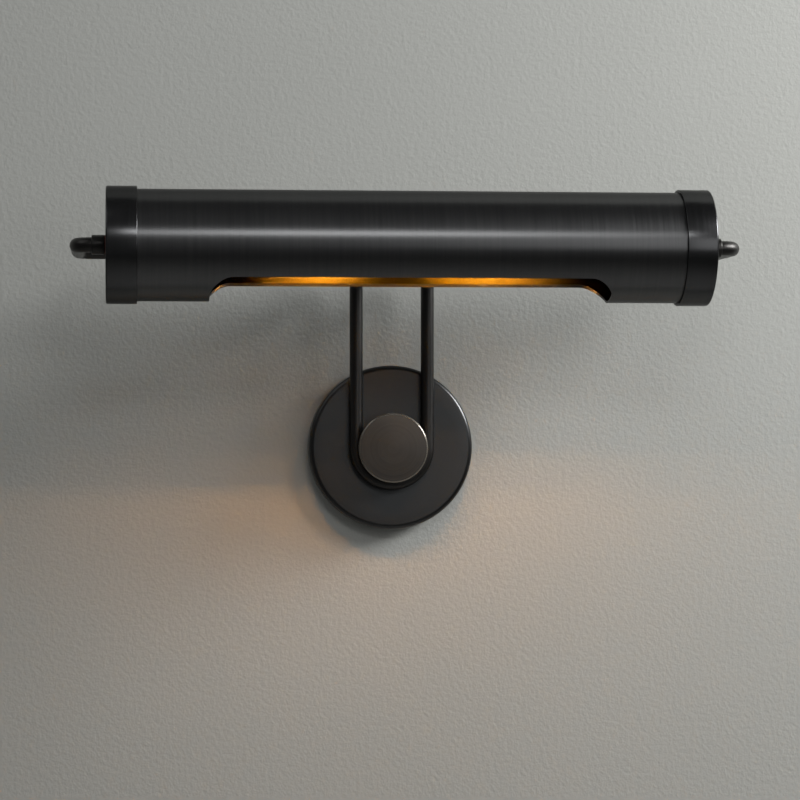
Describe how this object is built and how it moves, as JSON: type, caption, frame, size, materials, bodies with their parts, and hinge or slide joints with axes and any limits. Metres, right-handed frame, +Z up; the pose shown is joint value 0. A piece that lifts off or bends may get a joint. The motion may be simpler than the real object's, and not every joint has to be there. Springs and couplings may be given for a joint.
{
  "type": "wall light",
  "caption": "Tube wall light: a long round shade with a light slot below turns in a yoke, carried by a bent hoop that a knob clamps to a round backplate.",
  "frame": {"origin": "centre of the backplate on the wall plane", "axes": "+X along the shade, to the right as seen from the room; +Y into the wall; +Z up"},
  "size_m": [0.385, 0.1583, 0.1993],
  "materials": {
    "shade_metal": "dark bronze, brushed round the tube, satin lacquer",
    "rod_metal": "near black bronze, satin",
    "plate_metal": "dark bronze, matte",
    "knob_metal": "brown bronze, fine brushed face, polished edge",
    "zinc_steel": "zinc plated",
    "brass": "plain turned",
    "lamp_cap_metal": "plain",
    "lamp_glass": "frosted, lit",
    "filament": "glowing wire",
    "fibre": "vulcanised fibre",
    "holder_moulding": "moulded, matte",
    "block_moulding": "moulded nylon",
    "lead_sleeve": "silicone sleeve"
  },
  "bodies": {
    "wall_mount": {"backplate": "plate_metal", "standoff": "zinc_steel", "centre_stud": "zinc_steel", "hub": "zinc_steel", "wall_bracket": "zinc_steel", "terminal_block": "block_moulding", "terminal_screws": "zinc_steel", "block_screws": "zinc_steel", "earth_screw": "zinc_steel", "earth_washer": "brass", "supply_lead": "lead_sleeve"},
    "clamp_washer": {"clamp_washer": "zinc_steel"},
    "knob": {"clamp_knob": "knob_metal"},
    "arm": {"hoop": "rod_metal", "yoke": "rod_metal", "wire_bush": "brass", "arm_lead_left": "lead_sleeve", "arm_lead_right": "lead_sleeve", "pivot_collar_left": "rod_metal", "pivot_collar_right": "rod_metal", "pivot_nipple_left": "brass", "pivot_nipple_right": "brass", "fibre_washer_left": "fibre", "fibre_washer_right": "fibre", "spring_washer_left": "zinc_steel", "spring_washer_right": "zinc_steel", "lock_nut_left": "zinc_steel", "lock_nut_right": "zinc_steel", "pivot_washer": "zinc_steel", "stop_washer": "zinc_steel"},
    "shade": {"shade_tube": "shade_metal", "stop_pin": "zinc_steel", "end_cap_left": "shade_metal", "end_cap_right": "shade_metal", "holder_disc_left": "zinc_steel", "holder_disc_right": "zinc_steel", "lampholder_left": "holder_moulding", "lampholder_right": "holder_moulding", "holder_shell_left": "brass", "holder_shell_right": "brass", "holder_nut_left": "zinc_steel", "holder_nut_right": "zinc_steel", "lamp_cap_left": "lamp_cap_metal", "lamp_cap_right": "lamp_cap_metal", "lamp_glass_left": "lamp_glass", "lamp_glass_right": "lamp_glass", "lamp_filament_left": "filament", "lamp_filament_right": "filament", "shade_lead_left": "lead_sleeve", "shade_lead_right": "lead_sleeve"}
  },
  "joints": [
    {"name": "hoop_swivel", "type": "hinge", "parent": "wall_mount", "child": "arm", "pos_m": [0, 0, 0], "axis": [0, -1, 0], "range_deg": [-10, 10]},
    {"name": "shade_tilt", "type": "hinge", "parent": "arm", "child": "shade", "pos_m": [0, -0.125, 0.116], "axis": [1, 0, 0], "range_deg": [-150, 150]},
    {"name": "washer_slide", "type": "slide", "parent": "wall_mount", "child": "clamp_washer", "axis": [0, -1, 0], "range_m": [0, 0.002]},
    {"name": "knob_turn", "type": "hinge", "parent": "clamp_washer", "child": "knob", "pos_m": [0, 0, 0], "axis": [0, -1, 0], "range_deg": [0, 720]}
  ],
  "couplings": [
    {"joint": "knob_turn", "follows": "washer_slide", "rad_per_m": 6283.2}
  ]
}
